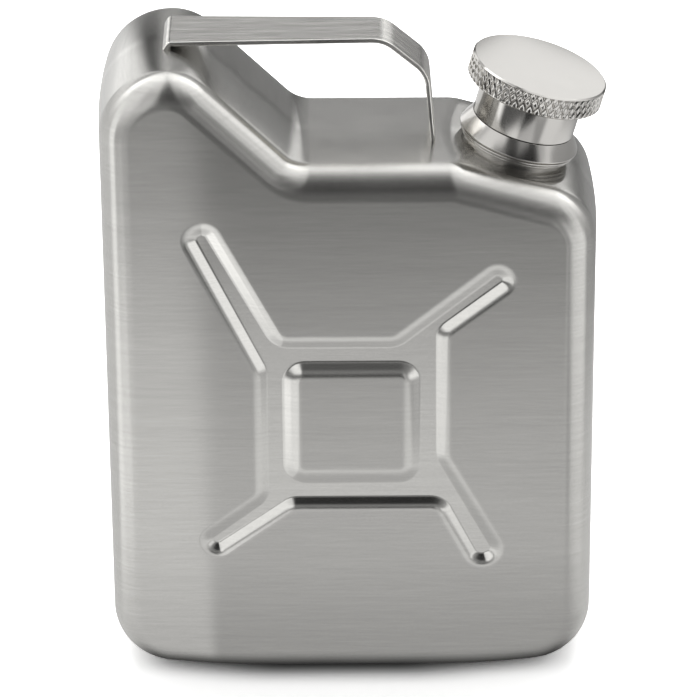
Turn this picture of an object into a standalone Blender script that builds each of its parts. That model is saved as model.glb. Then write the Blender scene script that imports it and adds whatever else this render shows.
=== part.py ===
# Hip flask in the form of a small fuel can: two drawn steel half shells, a welded
# neck with a screw cap and its seal, and a strap handle over the dip in the top.
# Metres, +Z up, +X to the side that carries the neck, the front faces -Y.
import math

import bmesh
import bpy
from mathutils import Matrix, Vector

# Whole body
body_width = 0.0700
body_depth = 0.0294
base_to_top = 0.09635
dip_drop = 0.01435
sheet = 0.0006
edge_radius = 0.0044
wall_crown = 0.0004
weld_gap = 0.0003

# Outline seen from the front
base_ease_run = 0.0160
base_rise = 0.0017
base_ease_radius = 0.0900
foot_corner_radius = 0.0092
neck_tilt = math.radians(15.9)
shoulder_run = 0.0198
shoulder_ease_radius = 0.0080
shoulder_corner_radius = 0.0080
tower_top_width = 0.0131
slope_angle = math.radians(44.5)
slope_foot_radius = 0.0035
crest_radius = 0.0080
crest_flat = 0.0001
corner_steps = 7
crown_steps = 2
edge_steps = 6

# Pressed cross with its raised square island
press_side_border = 0.0110
press_base_border = 0.0166
press_offset_x = 0.00025
press_offset_z = 0.0012
press_depth = 0.0007
press_wall_run = 0.0017
press_least_radius = 0.0003
press_steps = 4
press_groove = 0.0058
island_corner_radius = 0.0012
island_wall_run = 0.0022

# The cross, counter-clockwise from the top left of the middle: x, z and corner
# radius as shares of the half width and half height of its middle square.
cross_outline_shares = (
    (-0.74, 1.01, 0.15),
    (-1.48, 2.43, 0.16),
    (-1.76, 2.21, 0.16),
    (-1.00, 0.61, 0.22),
    (-1.00, -0.86, 0.15),
    (-1.66, -1.37, 0.12),
    (-1.48, -1.63, 0.12),
    (-0.63, -1.01, 0.18),
    (0.91, -1.01, 0.15),
    (1.30, -1.79, 0.15),
    (1.64, -1.59, 0.15),
    (1.00, -0.40, 0.22),
    (1.00, 1.05, 0.11),
    (1.76, 1.66, 0.13),
    (1.54, 1.91, 0.13),
    (0.45, 1.01, 0.18),
)

# Neck, with heights above the shoulder sheet along the neck's own axis
neck_seat_along = 0.0089
neck_bore_radius = 0.0052
neck_tube_radius = 0.0061
neck_spigot_length = 0.0016
neck_foot_radius = 0.0076
neck_foot_height = 0.0004
neck_ring_radius = 0.0083
neck_ring_height = 0.0003
neck_groove_depth = 0.0003
neck_collar_radius = 0.0087
neck_collar_top_radius = 0.0074
neck_collar_height = 0.0025
neck_collar_band = 0.0002
neck_tube_height = 0.0058
neck_lip_round = 0.0003
turned_steps = 48

# Screw cap and its seal
cap_head_radius = 0.0098
cap_head_height = 0.0033
cap_skirt_radius = 0.0074
cap_thread_clearance = 0.00045
cap_chamfer = 0.00025
cap_roof = 0.0017
seal_thickness = 0.0011
seal_radius = 0.0062
seal_gap = 0.00015
seat_gap = 0.0003

# Strap handle
strap_thickness = 0.0007
strap_rise = 0.00125
strap_left_width = 0.0094
strap_right_width = 0.0079
strap_foot_width = 0.0090
strap_end_inset = 0.00986
strap_end_lean = 0.00024
strap_end_lift = 0.0002
strap_fall_run = 0.0060
strap_knee_height = 0.01045
strap_leg_lean = 0.00085
strap_foot_back = 0.00325
strap_bend_radius = 0.0045
strap_end_radius = 0.0005
strap_edge_round = 0.00012
strap_bend_steps = 6


def clear_scene():
    for thing in list(bpy.data.objects):
        bpy.data.objects.remove(thing, do_unlink=True)


def new_collection(name):
    collection = bpy.data.collections.new(name)
    bpy.context.scene.collection.children.link(collection)
    return collection


def steel(name, color, roughness, metallic=1.0):
    material = bpy.data.materials.new(name)
    material.use_nodes = True
    shader = material.node_tree.nodes["Principled BSDF"]
    shader.inputs["Base Color"].default_value = (*color, 1.0)
    shader.inputs["Roughness"].default_value = roughness
    shader.inputs["Metallic"].default_value = metallic
    return material


def add_object(name, mesh, collection, material=None):
    thing = bpy.data.objects.new(name, mesh)
    collection.objects.link(thing)
    if material:
        mesh.materials.append(material)
    return thing


# Outlines of straight edges and round corners, moved sideways edge by edge

def moved_corners(corners, insets):
    """Corner points after each edge moves inwards by its own inset."""
    count = len(corners)
    points = [Vector(corner[:2]) for corner in corners]
    normals = []
    for index in range(count):
        along = points[(index + 1) % count] - points[index]
        normals.append(Vector((along.y, -along.x)).normalized())
    moved = []
    for index in range(count):
        before = normals[index - 1]
        after = normals[index]
        grid = Matrix((before, after))
        push = Vector((-insets[index - 1], -insets[index]))
        moved.append(points[index] + grid.inverted() @ push)
    return moved, normals


def rounded_loop(corners, insets, least_radius):
    """Points of the moved outline, with an arc of corner_steps at each corner."""
    points, normals = moved_corners(corners, insets)
    loop = []
    for index, point in enumerate(points):
        before = normals[index - 1]
        after = normals[index]
        turn = math.atan2(before.x * after.y - before.y * after.x, before.dot(after))
        side = math.copysign(1, turn)
        shift = (insets[index - 1] + insets[index]) / 2
        radius = max(corners[index][2] - side * shift, least_radius)
        center = point - (before + after) / (1 + before.dot(after)) * radius * side
        start = math.atan2(before.y, before.x)
        for step in range(corner_steps + 1):
            angle = start + turn * step / corner_steps
            loop.append(center + Vector((math.cos(angle), math.sin(angle))) * radius * side)
    return loop


def base_to_dip():
    return base_to_top - dip_drop


def shoulder_start_x():
    return body_width / 2 - shoulder_run


def body_corners():
    side = body_width / 2
    flat = side - base_ease_run
    dip = base_to_dip()
    shoulder_drop = shoulder_run * math.tan(neck_tilt)
    crest_x = tower_top_width - side
    slope_foot_x = crest_x + dip_drop / math.tan(slope_angle)
    crest_reach = crest_radius * math.tan(slope_angle / 2)
    tower_radius = tower_top_width - crest_reach - crest_flat
    return (
        (-flat, 0, base_ease_radius),
        (flat, 0, base_ease_radius),
        (side, base_rise, foot_corner_radius),
        (side, dip - shoulder_drop, shoulder_corner_radius),
        (shoulder_start_x(), dip, shoulder_ease_radius),
        (slope_foot_x, dip, slope_foot_radius),
        (crest_x, base_to_top, crest_radius),
        (-side, base_to_top, tower_radius),
        (-side, base_rise, foot_corner_radius),
    )


# Shares of the crown on each edge of body_corners: the base and the shoulder stay flat
crown_shares = (0, 0, 1, 0, 1, 1, 1, 1, 0)


def press_middle():
    """Middle of the cross and the half sizes of its middle square."""
    middle = Vector((press_offset_x, base_to_dip() / 2 + press_offset_z))
    side_reach_share = max(x for x, z, radius in cross_outline_shares)
    base_reach_share = max(-z for x, z, radius in cross_outline_shares)
    half_width = (body_width / 2 - press_side_border) / side_reach_share
    half_height = (base_to_dip() / 2 - press_base_border) / base_reach_share
    return middle, half_width, half_height


def press_corners():
    middle, half_width, half_height = press_middle()
    return tuple(
        (middle.x + half_width * x, middle.y + half_height * z, half_width * radius)
        for x, z, radius in cross_outline_shares
    )


def island_corners():
    middle, half_width, half_height = press_middle()
    reach_x = half_width - press_groove
    reach_z = half_height - press_groove
    return tuple(
        (middle.x + reach_x * x, middle.y + reach_z * z, island_corner_radius)
        for x, z in ((-1, -1), (1, -1), (1, 1), (-1, 1))
    )


def add_loop(mesh, points, depth):
    """A closed ring of edges at one depth behind the front."""
    ring = [mesh.verts.new((point.x, depth, point.y)) for point in points]
    return [mesh.edges.new((ring[index - 1], ring[index])) for index in range(len(ring))]


def bridge(mesh, rings):
    for near, far in zip(rings, rings[1:]):
        bmesh.ops.bridge_loops(mesh, edges=near + far)


def body_rings(mesh):
    """Rings from the seam round the edge to the flat panel."""
    corners = body_corners()
    panel = body_depth / 2
    wall = panel - edge_radius
    seam = weld_gap / 2
    rings = []
    for step in range(crown_steps + 1):
        depth = seam + (wall - seam) * step / crown_steps
        bulge = wall_crown * (1 - (depth / wall) ** 2)
        insets = [-bulge * share for share in crown_shares]
        rings.append(add_loop(mesh, rounded_loop(corners, insets, sheet), depth))
    lean = math.atan2(2 * wall_crown, wall)
    for step in range(1, edge_steps + 1):
        angle = lean + (math.pi / 2 - lean) * step / edge_steps
        depth = wall + edge_radius * (math.sin(angle) - math.sin(lean)) / (1 - math.sin(lean))
        inset = edge_radius * (math.cos(lean) - math.cos(angle))
        loop = rounded_loop(corners, [inset] * len(corners), sheet)
        rings.append(add_loop(mesh, loop, depth))
    return rings


def pressed_rings(mesh, corners, run, outwards):
    """Rings down a pressed wall, from panel level to the floor of the cross."""
    rings = []
    for step in range(press_steps + 1):
        share = step / press_steps
        inset = -run * share if outwards else run * share
        depth = body_depth / 2 - press_depth * share * share * (3 - 2 * share)
        loop = rounded_loop(corners, [inset] * len(corners), press_least_radius)
        rings.append(add_loop(mesh, loop, depth))
    return rings


def fill_between(mesh, outer, inner):
    bmesh.ops.triangle_fill(mesh, use_beauty=True, use_dissolve=False, edges=outer + inner)


def shell_mesh(name, side):
    """Outer skin of one half, side -1 for the front and 1 for the back."""
    mesh = bmesh.new()
    edge = body_rings(mesh)
    cross = pressed_rings(mesh, press_corners(), press_wall_run, False)
    island = pressed_rings(mesh, island_corners(), island_wall_run, True)
    for rings in (edge, cross, island):
        bridge(mesh, rings)
    fill_between(mesh, edge[-1], cross[0])
    fill_between(mesh, cross[-1], island[-1])
    fill_between(mesh, island[0], [])
    bmesh.ops.scale(mesh, vec=(1, side, 1), verts=mesh.verts)
    bmesh.ops.recalc_face_normals(mesh, faces=mesh.faces)
    panel = max(mesh.faces, key=lambda face: face.calc_center_median().y * side)
    if panel.normal.y * side < 0:
        bmesh.ops.reverse_faces(mesh, faces=mesh.faces)
    data = bpy.data.meshes.new(name)
    mesh.to_mesh(data)
    mesh.free()
    data.shade_smooth()
    return data


def neck_seat():
    """Middle of the neck's seat on the shoulder, at sheet level."""
    return Vector((
        shoulder_start_x() + neck_seat_along * math.cos(neck_tilt),
        0,
        base_to_dip() - neck_seat_along * math.sin(neck_tilt),
    ))


def turned(name, profile, collection, material):
    """A turned piece on the neck's axis: profile of radius and height, outer side downwards."""
    mesh = bmesh.new()
    ring = [mesh.verts.new((radius, 0, height)) for radius, height in profile]
    for start, end in zip(ring, ring[1:]):
        mesh.edges.new((start, end))
    if profile[0][0] > 0:
        mesh.edges.new((ring[-1], ring[0]))
    data = bpy.data.meshes.new(name)
    mesh.to_mesh(data)
    mesh.free()
    thing = add_object(name, data, collection, material)
    thing.location = neck_seat()
    thing.rotation_euler = (0, neck_tilt, 0)
    screw = thing.modifiers.new("Turn", "SCREW")
    screw.axis = "Z"
    screw.steps = turned_steps
    screw.render_steps = turned_steps
    screw.use_merge_vertices = True
    screw.merge_threshold = 0.00001
    screw.use_normal_calculate = False
    return thing


def neck_heights():
    """Heights above the shoulder of the neck's rims, from its foot to its mouth."""
    foot = weld_gap
    ring = foot + neck_foot_height
    groove = ring + neck_ring_height
    rim = groove + neck_ring_height
    collar = rim + neck_collar_height
    mouth = collar + neck_tube_height
    return foot, ring, groove, rim, collar, mouth


def spigot_radius():
    return neck_tube_radius + weld_gap / 2


def cut_neck_hole(shell, cutters):
    """The round hole in the shoulder that the neck's spigot stands in."""
    hole_radius = spigot_radius() + weld_gap
    bpy.ops.mesh.primitive_cylinder_add(
        vertices=turned_steps,
        radius=hole_radius,
        depth=body_depth / 2,
        location=neck_seat(),
        rotation=(0, neck_tilt, 0),
    )
    cutter = bpy.context.object
    cutter.name = shell.name + "_neck_hole"
    for collection in list(cutter.users_collection):
        collection.objects.unlink(cutter)
    cutters.objects.link(cutter)
    cutter.hide_render = True
    cutter.display_type = "WIRE"
    cut = shell.modifiers.new("Neck hole", "BOOLEAN")
    cut.operation = "DIFFERENCE"
    cut.solver = "EXACT"
    cut.object = cutter


def make_shell(name, side, parts, cutters, material):
    shell = add_object(name, shell_mesh(name, side), parts, material)
    wall = shell.modifiers.new("Sheet", "SOLIDIFY")
    wall.thickness = sheet
    wall.offset = -1
    wall.use_even_offset = True
    wall.use_quality_normals = True
    cut_neck_hole(shell, cutters)
    return shell


def make_neck(parts, material):
    foot, ring, groove, rim, collar, mouth = neck_heights()
    spigot = spigot_radius()
    profile = (
        (neck_tube_radius - neck_lip_round, mouth),
        (neck_tube_radius, mouth - neck_lip_round),
        (neck_tube_radius, collar),
        (neck_collar_top_radius, collar),
        (neck_collar_radius, rim + neck_collar_band),
        (neck_collar_radius, rim),
        (neck_ring_radius - neck_groove_depth, rim),
        (neck_ring_radius - neck_groove_depth, groove),
        (neck_ring_radius, groove),
        (neck_ring_radius, ring),
        (neck_foot_radius, ring),
        (neck_foot_radius, foot),
        (spigot, foot),
        (spigot, -neck_spigot_length),
        (neck_bore_radius, -neck_spigot_length),
        (neck_bore_radius, mouth - neck_lip_round),
        (neck_bore_radius + neck_lip_round, mouth),
    )
    return turned("neck", profile, parts, material)


def seal_base():
    return neck_heights()[-1] + seal_gap


def cap_top():
    return seal_base() + seal_thickness + seal_gap + cap_roof


def make_cap(parts, material):
    collar = neck_heights()[4]
    top = cap_top()
    cavity = top - cap_roof
    inner = neck_tube_radius + cap_thread_clearance
    skirt_end = collar + seat_gap
    profile = (
        (0, top),
        (cap_head_radius - cap_chamfer, top),
        (cap_head_radius, top - cap_chamfer),
        (cap_head_radius, top - cap_head_height + cap_chamfer),
        (cap_head_radius - cap_chamfer, top - cap_head_height),
        (cap_skirt_radius, top - cap_head_height),
        (cap_skirt_radius, skirt_end),
        (inner, skirt_end),
        (inner, cavity),
        (0, cavity),
    )
    return turned("cap", profile, parts, material)


def make_seal(parts, material):
    base = seal_base()
    profile = (
        (0, base + seal_thickness),
        (seal_radius, base + seal_thickness),
        (seal_radius, base),
        (0, base),
    )
    return turned("cap_gasket", profile, parts, material)


def strap_route():
    """Middle line of the strap from its left end to its foot: x, height, width."""
    top = base_to_top + strap_rise
    knee = base_to_dip() + strap_knee_height
    crest = base_to_top + wall_crown + weld_gap + strap_end_lift
    dip = base_to_dip() + wall_crown + weld_gap
    left_x = strap_end_inset - body_width / 2
    foot_x = shoulder_start_x() - strap_foot_back
    knee_x = foot_x - strap_leg_lean
    bend_x = knee_x - strap_fall_run
    corners = (
        (left_x - strap_end_lean, crest, 0, strap_left_width),
        (left_x, top, strap_end_radius, strap_left_width),
        (bend_x, top, strap_bend_radius, strap_right_width),
        (knee_x, knee, strap_bend_radius, strap_right_width),
        (foot_x, dip, 0, strap_foot_width),
    )
    route = []
    for index, (x, height, radius, width) in enumerate(corners):
        here = Vector((x, height))
        if radius == 0:
            route.append((here, width))
            continue
        before = (Vector(corners[index - 1][:2]) - here).normalized()
        after = (Vector(corners[index + 1][:2]) - here).normalized()
        half = before.angle(after) / 2
        reach = radius / math.tan(half)
        center = here + (before + after).normalized() * radius / math.sin(half)
        start = here + before * reach - center
        end = here + after * reach - center
        sweep = start.angle_signed(end)
        for step in range(strap_bend_steps + 1):
            turn = Matrix.Rotation(-sweep * step / strap_bend_steps, 2)
            route.append((center + turn @ start, width))
    return route


def make_handle(parts, material):
    mesh = bmesh.new()
    route = strap_route()
    line = [mesh.verts.new((point.x, -width / 2, point.y)) for point, width in route]
    for start, end in zip(line, line[1:]):
        mesh.edges.new((start, end))
    ribbon = bmesh.ops.extrude_edge_only(mesh, edges=mesh.edges[:])
    for corner in ribbon["geom"]:
        if isinstance(corner, bmesh.types.BMVert):
            corner.co.y = -corner.co.y
    bmesh.ops.recalc_face_normals(mesh, faces=mesh.faces)
    data = bpy.data.meshes.new("handle")
    mesh.to_mesh(data)
    mesh.free()
    handle = add_object("handle", data, parts, material)
    plate = handle.modifiers.new("Strap", "SOLIDIFY")
    plate.thickness = strap_thickness
    plate.offset = 0
    plate.use_even_offset = True
    bevel = handle.modifiers.new("Soft edges", "BEVEL")
    bevel.width = strap_edge_round
    bevel.segments = 1
    bevel.limit_method = "ANGLE"
    bevel.angle_limit = math.radians(60)
    return handle


def build():
    clear_scene()
    parts = new_collection("Flask")
    cutters = new_collection("Flask cutters")
    brushed = steel("Brushed steel", (0.56, 0.55, 0.53), 0.32)
    polished = steel("Polished steel", (0.66, 0.65, 0.63), 0.12)
    silicone = steel("Silicone", (0.80, 0.79, 0.75), 0.60, metallic=0.0)
    front = make_shell("front_shell", -1, parts, cutters, brushed)
    back = make_shell("back_shell", 1, parts, cutters, brushed)
    neck = make_neck(parts, polished)
    cap = make_cap(parts, polished)
    seal = make_seal(parts, silicone)
    handle = make_handle(parts, brushed)

    # The cap reaches past the side wall, so the body moves over to keep the middle
    # of the whole part above the origin.
    lean_out = cap_head_radius * math.cos(neck_tilt)
    cap_reach = (cap_top() - cap_chamfer) * math.sin(neck_tilt) + lean_out
    right = max(neck_seat().x + cap_reach, body_width / 2 + wall_crown)
    left = body_width / 2 + wall_crown
    frame = bpy.data.objects.new("flask_frame", None)
    parts.objects.link(frame)
    frame.location.x = (left - right) / 2
    for thing in (front, back, neck, cap, seal, handle):
        thing.parent = frame
    for cutter in cutters.objects:
        cutter.parent = frame


build()
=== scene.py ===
import math

import bmesh
import bpy
from mathutils import Matrix, Vector


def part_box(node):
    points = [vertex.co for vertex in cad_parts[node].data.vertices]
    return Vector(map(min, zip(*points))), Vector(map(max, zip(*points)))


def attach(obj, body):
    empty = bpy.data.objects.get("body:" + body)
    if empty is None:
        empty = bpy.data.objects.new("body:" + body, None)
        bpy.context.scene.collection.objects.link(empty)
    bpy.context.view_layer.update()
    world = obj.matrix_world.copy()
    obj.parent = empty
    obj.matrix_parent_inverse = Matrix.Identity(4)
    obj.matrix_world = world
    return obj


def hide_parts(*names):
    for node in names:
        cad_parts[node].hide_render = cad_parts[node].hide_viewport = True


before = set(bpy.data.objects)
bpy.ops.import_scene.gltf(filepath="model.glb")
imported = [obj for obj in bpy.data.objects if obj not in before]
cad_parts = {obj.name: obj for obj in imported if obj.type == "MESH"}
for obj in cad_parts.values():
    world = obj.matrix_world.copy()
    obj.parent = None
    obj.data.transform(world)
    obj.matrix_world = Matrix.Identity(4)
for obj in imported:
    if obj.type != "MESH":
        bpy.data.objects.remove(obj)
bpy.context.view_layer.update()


# Camera
# A long lens, 0.6 m in front of the flask and 0.37 m above the table. It looks down on the
# front by 28 degrees, almost square to it. Its turns are in radians.
camera_place = Vector((0.00198, -0.61565, 0.37158))
camera_down = 0.4854
camera_aside = 0.0046
camera_roll = -0.0079
camera_focus_pixels = 4769.1
photo_width_pixels = 697
sensor_width_mm = 36
camera_clip_start = 0.01


def new_object(name, data):
    """An object for the data, put into the scene."""
    thing = bpy.data.objects.new(name, data)
    bpy.context.scene.collection.objects.link(thing)
    return thing


camera_data = bpy.data.cameras.new("camera")
camera_data.sensor_width = sensor_width_mm
camera_data.lens = camera_focus_pixels / photo_width_pixels * sensor_width_mm
camera_data.clip_start = camera_clip_start
camera = new_object("camera", camera_data)
camera.matrix_world = (
    Matrix.Translation(camera_place)
    @ Matrix.Rotation(camera_aside, 4, "Z")
    @ Matrix.Rotation(math.pi / 2 - camera_down, 4, "X")
    @ Matrix.Rotation(camera_roll, 4, "Z")
)
bpy.context.scene.camera = camera


# Front and back half of the body
# Each is deep drawn from 0.6 mm stainless sheet, with a cross pressed into the panel
# and a square island left standing in it. They are welded edge to edge and brushed.
shell_low, shell_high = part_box("front_shell")
body_middle_x = (shell_low.x + shell_high.x) / 2
body_width = 0.0700
body_depth = 0.0294
body_top = 0.09635
dip_drop = 0.01435
dip_level = body_top - dip_drop
sheet_thickness = 0.0006
edge_radius = 0.0044
wall_crown = 0.0004
base_ease_run = 0.0160
base_rise = 0.0017
base_ease_radius = 0.0900
foot_corner_radius = 0.0092
neck_tilt = math.radians(15.9)
shoulder_run = 0.0198
shoulder_ease_radius = 0.0080
shoulder_corner_radius = 0.0080
shoulder_start_x = body_width / 2 - shoulder_run
slope_angle = math.radians(44.5)
slope_foot_radius = 0.0050
tower_top_width = 0.0131
crest_radius = 0.0080
crest_flat = 0.0001
body_corner_steps = 20
body_crown_steps = 6
body_edge_steps = 18
least_radius = 0.0003
hem_width = 0.00015
seam_strip = 0.0004
# Rings are bridged the right way round only where they differ in depth
hem_drop = 0.0000004

press_side_border = 0.0110
press_base_border = 0.0166
press_offset_x = 0.00025
press_offset_z = 0.0012
press_groove = 0.0058
press_depth = 0.0007
press_wall_run = 0.0017
island_wall_run = 0.0022
wall_lip_reach = 0.0006
island_corner_radius = 0.0012
press_corner_steps = 10
wall_lip_share = 0.56
wall_foot_share = 0.10
wall_steps = 16
# The pressed mark is full after a third of a wall, and the rounded one after a quarter of
# the edge, from each side. A wall carries a painted highlight from this ring on.
pressed_mark_rise = 3
rounded_mark_rise = 4
painted_wall_highlight_first_ring = 3

# The cross, counter-clockwise from the top left of the middle: x, z and corner
# radius as shares of the half width and half height of its middle square.
cross_outline_shares = (
    (-0.74, 1.01, 0.15),
    (-1.48, 2.43, 0.17),
    (-1.76, 2.21, 0.17),
    (-1.00, 0.61, 0.22),
    (-1.00, -0.86, 0.15),
    (-1.66, -1.37, 0.15),
    (-1.48, -1.63, 0.15),
    (-0.63, -1.01, 0.18),
    (0.91, -1.01, 0.15),
    (1.30, -1.79, 0.185),
    (1.64, -1.59, 0.185),
    (1.00, -0.40, 0.22),
    (1.00, 1.05, 0.11),
    (1.76, 1.66, 0.16),
    (1.54, 1.91, 0.16),
    (0.45, 1.01, 0.18),
)


def outline_loop(corners, insets, steps):
    """Points of an outline whose edges move inwards, with an arc at each corner."""
    count = len(corners)
    points = [Vector(corner[:2]) for corner in corners]
    normals = []
    for index in range(count):
        along = points[(index + 1) % count] - points[index]
        normals.append(Vector((along.y, -along.x)).normalized())
    loop = []
    for index in range(count):
        before = normals[index - 1]
        after = normals[index]
        push = Vector((-insets[index - 1], -insets[index]))
        corner = points[index] + Matrix((before, after)).inverted() @ push
        turn = math.atan2(before.x * after.y - before.y * after.x, before.dot(after))
        side = math.copysign(1, turn)
        shift = (insets[index - 1] + insets[index]) / 2
        radius = max(corners[index][2] - side * shift, least_radius)
        center = corner - (before + after) / (1 + before.dot(after)) * radius * side
        start = math.atan2(before.y, before.x)
        for step in range(steps + 1):
            angle = start + turn * step / steps
            loop.append(center + Vector((math.cos(angle), math.sin(angle))) * radius * side)
    return loop


def body_corners():
    """Corners of the body's outline, counter-clockwise from the base: x, z and radius."""
    side = body_width / 2
    flat = side - base_ease_run
    crest_x = tower_top_width - side
    slope_foot_x = crest_x + dip_drop / math.tan(slope_angle)
    crest_reach = crest_radius * math.tan(slope_angle / 2)
    tower_radius = tower_top_width - crest_reach - crest_flat
    shoulder_end = dip_level - shoulder_run * math.tan(neck_tilt)
    return (
        (-flat, 0, base_ease_radius),
        (flat, 0, base_ease_radius),
        (side, base_rise, foot_corner_radius),
        (side, shoulder_end, shoulder_corner_radius),
        (shoulder_start_x, dip_level, shoulder_ease_radius),
        (slope_foot_x, dip_level, slope_foot_radius),
        (crest_x, body_top, crest_radius),
        (-side, body_top, tower_radius),
        (-side, base_rise, foot_corner_radius),
    )


# Which edges of the outline are crowned: all but the base, the shoulder and the foot
crown_shares = (0, 0, 1, 0, 1, 1, 1, 1, 0)


def press_corners():
    """Corners of the cross and of the island in it."""
    side_reach_share = max(x for x, z, radius in cross_outline_shares)
    base_reach_share = max(-z for x, z, radius in cross_outline_shares)
    half_width = (body_width / 2 - press_side_border) / side_reach_share
    half_height = (dip_level / 2 - press_base_border) / base_reach_share
    middle = Vector((press_offset_x, dip_level / 2 + press_offset_z))
    cross = [
        (middle.x + half_width * x, middle.y + half_height * z, half_width * radius)
        for x, z, radius in cross_outline_shares
    ]
    reach_x = half_width - press_groove
    reach_z = half_height - press_groove
    island = [
        (middle.x + reach_x * x, middle.y + reach_z * z, island_corner_radius)
        for x, z in ((-1, -1), (1, -1), (1, 1), (-1, 1))
    ]
    return cross, island


def add_ring(mesh, corners, insets, steps, depth):
    """Edges of a closed ring round the outline, at one depth from the weld seam."""
    points = outline_loop(corners, insets, steps)
    ring = [mesh.verts.new((point.x, depth, point.y)) for point in points]
    return [mesh.edges.new((ring[index - 1], ring[index])) for index in range(len(ring))]


def bridge_rings(mesh, rings):
    """Faces between each ring and the next."""
    for near, far in zip(rings, rings[1:]):
        bmesh.ops.bridge_loops(mesh, edges=near + far)


def wall_drop_share(share):
    """Drop of a pressed wall along its run: a round lip, a straight slope, a tight foot."""
    slope = 1 / (1 - wall_lip_share / 2 - wall_foot_share / 2)
    if share < wall_lip_share:
        return slope * share * share / (2 * wall_lip_share)
    if share > 1 - wall_foot_share:
        rest = 1 - share
        return 1 - slope * rest * rest / (2 * wall_foot_share)
    return slope * (share - wall_lip_share / 2)


def edge_rings(mesh):
    """Rings from the weld seam round the edge to the flat panel."""
    corners = body_corners()
    panel = body_depth / 2
    wall = panel - edge_radius
    rings = []
    for step in range(-1, body_crown_steps + 1):
        depth = seam_strip + (wall - seam_strip) * step / body_crown_steps if step >= 0 else 0
        bulge = wall_crown * (1 - (max(depth, seam_strip) / wall) ** 2)
        insets = [-bulge * share for share in crown_shares]
        rings.append(add_ring(mesh, corners, insets, body_corner_steps, depth))
    lean = math.atan2(2 * wall_crown, wall)
    for step in range(1, body_edge_steps + 1):
        angle = lean + (math.pi / 2 - lean) * step / body_edge_steps
        rise_share = (math.sin(angle) - math.sin(lean)) / (1 - math.sin(lean))
        insets = [edge_radius * (math.cos(lean) - math.cos(angle))] * len(corners)
        depth = wall + edge_radius * rise_share
        rings.append(add_ring(mesh, corners, insets, body_corner_steps, depth))
    insets = [edge_radius * math.cos(lean) + hem_width] * len(corners)
    rings.append(add_ring(mesh, corners, insets, body_corner_steps, panel + hem_drop))
    return rings


def pressed_rings(mesh, corners, run, outwards):
    """Rings down a pressed wall, whose lip starts before the outline, between flat hems."""
    panel = body_depth / 2
    side = -1 if outwards else 1
    places = [(-(wall_lip_reach + hem_width) * side, panel + hem_drop)]
    for step in range(wall_steps + 1):
        share = step / wall_steps
        across = (run + wall_lip_reach) * share - wall_lip_reach
        places.append((across * side, panel - press_depth * wall_drop_share(share)))
    places.append(((run + hem_width) * side, panel - press_depth - hem_drop))
    return [
        add_ring(mesh, corners, [inset] * len(corners), press_corner_steps, depth)
        for inset, depth in places
    ]


def fill_between(mesh, edges):
    """Flat faces between the rings, or within one."""
    bmesh.ops.triangle_fill(mesh, use_beauty=True, use_dissolve=False, edges=edges)


def mark_ring(ring, layer, value):
    """Writes one of the steel's marks on the vertices of a ring."""
    for edge in ring:
        for vert in edge.verts:
            vert[layer] = value


def mesh_data(mesh, name, smooth=True):
    """Mesh data made of the finished bmesh."""
    data = bpy.data.meshes.new(name)
    mesh.to_mesh(data)
    mesh.free()
    if smooth:
        data.shade_smooth()
    return data


def half_shell_mesh(name, side):
    """Outer skin of one half, side -1 for the front and 1 for the back, with the marks
    that the steel reads; two of them carry painted light on the pressed cross."""
    mesh = bmesh.new()
    pressed = mesh.verts.layers.float.new("pressed")
    painted_wall_highlight = mesh.verts.layers.float.new("painted_wall_highlight")
    rounded = mesh.verts.layers.float.new("rounded")
    cross, island = press_corners()
    edge_loops = edge_rings(mesh)
    cross_loops = pressed_rings(mesh, cross, press_wall_run, False)
    island_loops = pressed_rings(mesh, island, island_wall_run, True)
    # The pressed cross is marked for its smoother finish and for painted light, its walls for a
    # painted highlight.
    for loops in (cross_loops, island_loops):
        for step, ring in enumerate(loops):
            mark_ring(ring, pressed, min(pressed_mark_rise * step / wall_steps, 1))
            mark_ring(ring, painted_wall_highlight, float(painted_wall_highlight_first_ring <= step < wall_steps))
    for step, ring in enumerate(edge_loops[-body_edge_steps - 2:-1]):
        rise = rounded_mark_rise * step / body_edge_steps
        mark_ring(ring, rounded, min(rise, rounded_mark_rise - rise, 1))
    for loops in (edge_loops, cross_loops, island_loops):
        bridge_rings(mesh, loops)
    fill_between(mesh, edge_loops[-1] + cross_loops[0])
    fill_between(mesh, cross_loops[-1] + island_loops[-1])
    fill_between(mesh, island_loops[0])
    bmesh.ops.scale(mesh, vec=(1, side, 1), verts=mesh.verts)
    bmesh.ops.translate(mesh, vec=(body_middle_x, 0, 0), verts=mesh.verts)
    bmesh.ops.recalc_face_normals(mesh, faces=mesh.faces)
    mesh.normal_update()
    outermost = max(mesh.faces, key=lambda face: face.calc_center_median().y * side)
    if outermost.normal.y * side < 0:
        bmesh.ops.reverse_faces(mesh, faces=mesh.faces)
    return mesh_data(mesh, name)


neck_seat_along = 0.0089
neck_axis = Vector((math.sin(neck_tilt), 0, math.cos(neck_tilt)))
neck_seat = Vector((
    body_middle_x + shoulder_start_x + neck_seat_along * math.cos(neck_tilt),
    0,
    dip_level - neck_seat_along * math.sin(neck_tilt),
))
neck_place = Matrix.Translation(neck_seat) @ Matrix.Rotation(neck_tilt, 4, "Y")
neck_hole_radius = 0.0062
neck_hole_steps = 64
body_sharp_angle = math.radians(50)


def add_piece(name, data, body, *nodes):
    """A piece on its body, in place of the CAD nodes."""
    piece = new_object(name, data)
    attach(piece, body)
    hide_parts(*nodes)
    return piece


def keep_modified_mesh(piece):
    """Turns the piece's live modifiers into its mesh."""
    bpy.context.view_layer.update()
    finished = piece.evaluated_get(bpy.context.evaluated_depsgraph_get())
    data = bpy.data.meshes.new_from_object(finished)
    piece.modifiers.clear()
    piece.data = data


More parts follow.
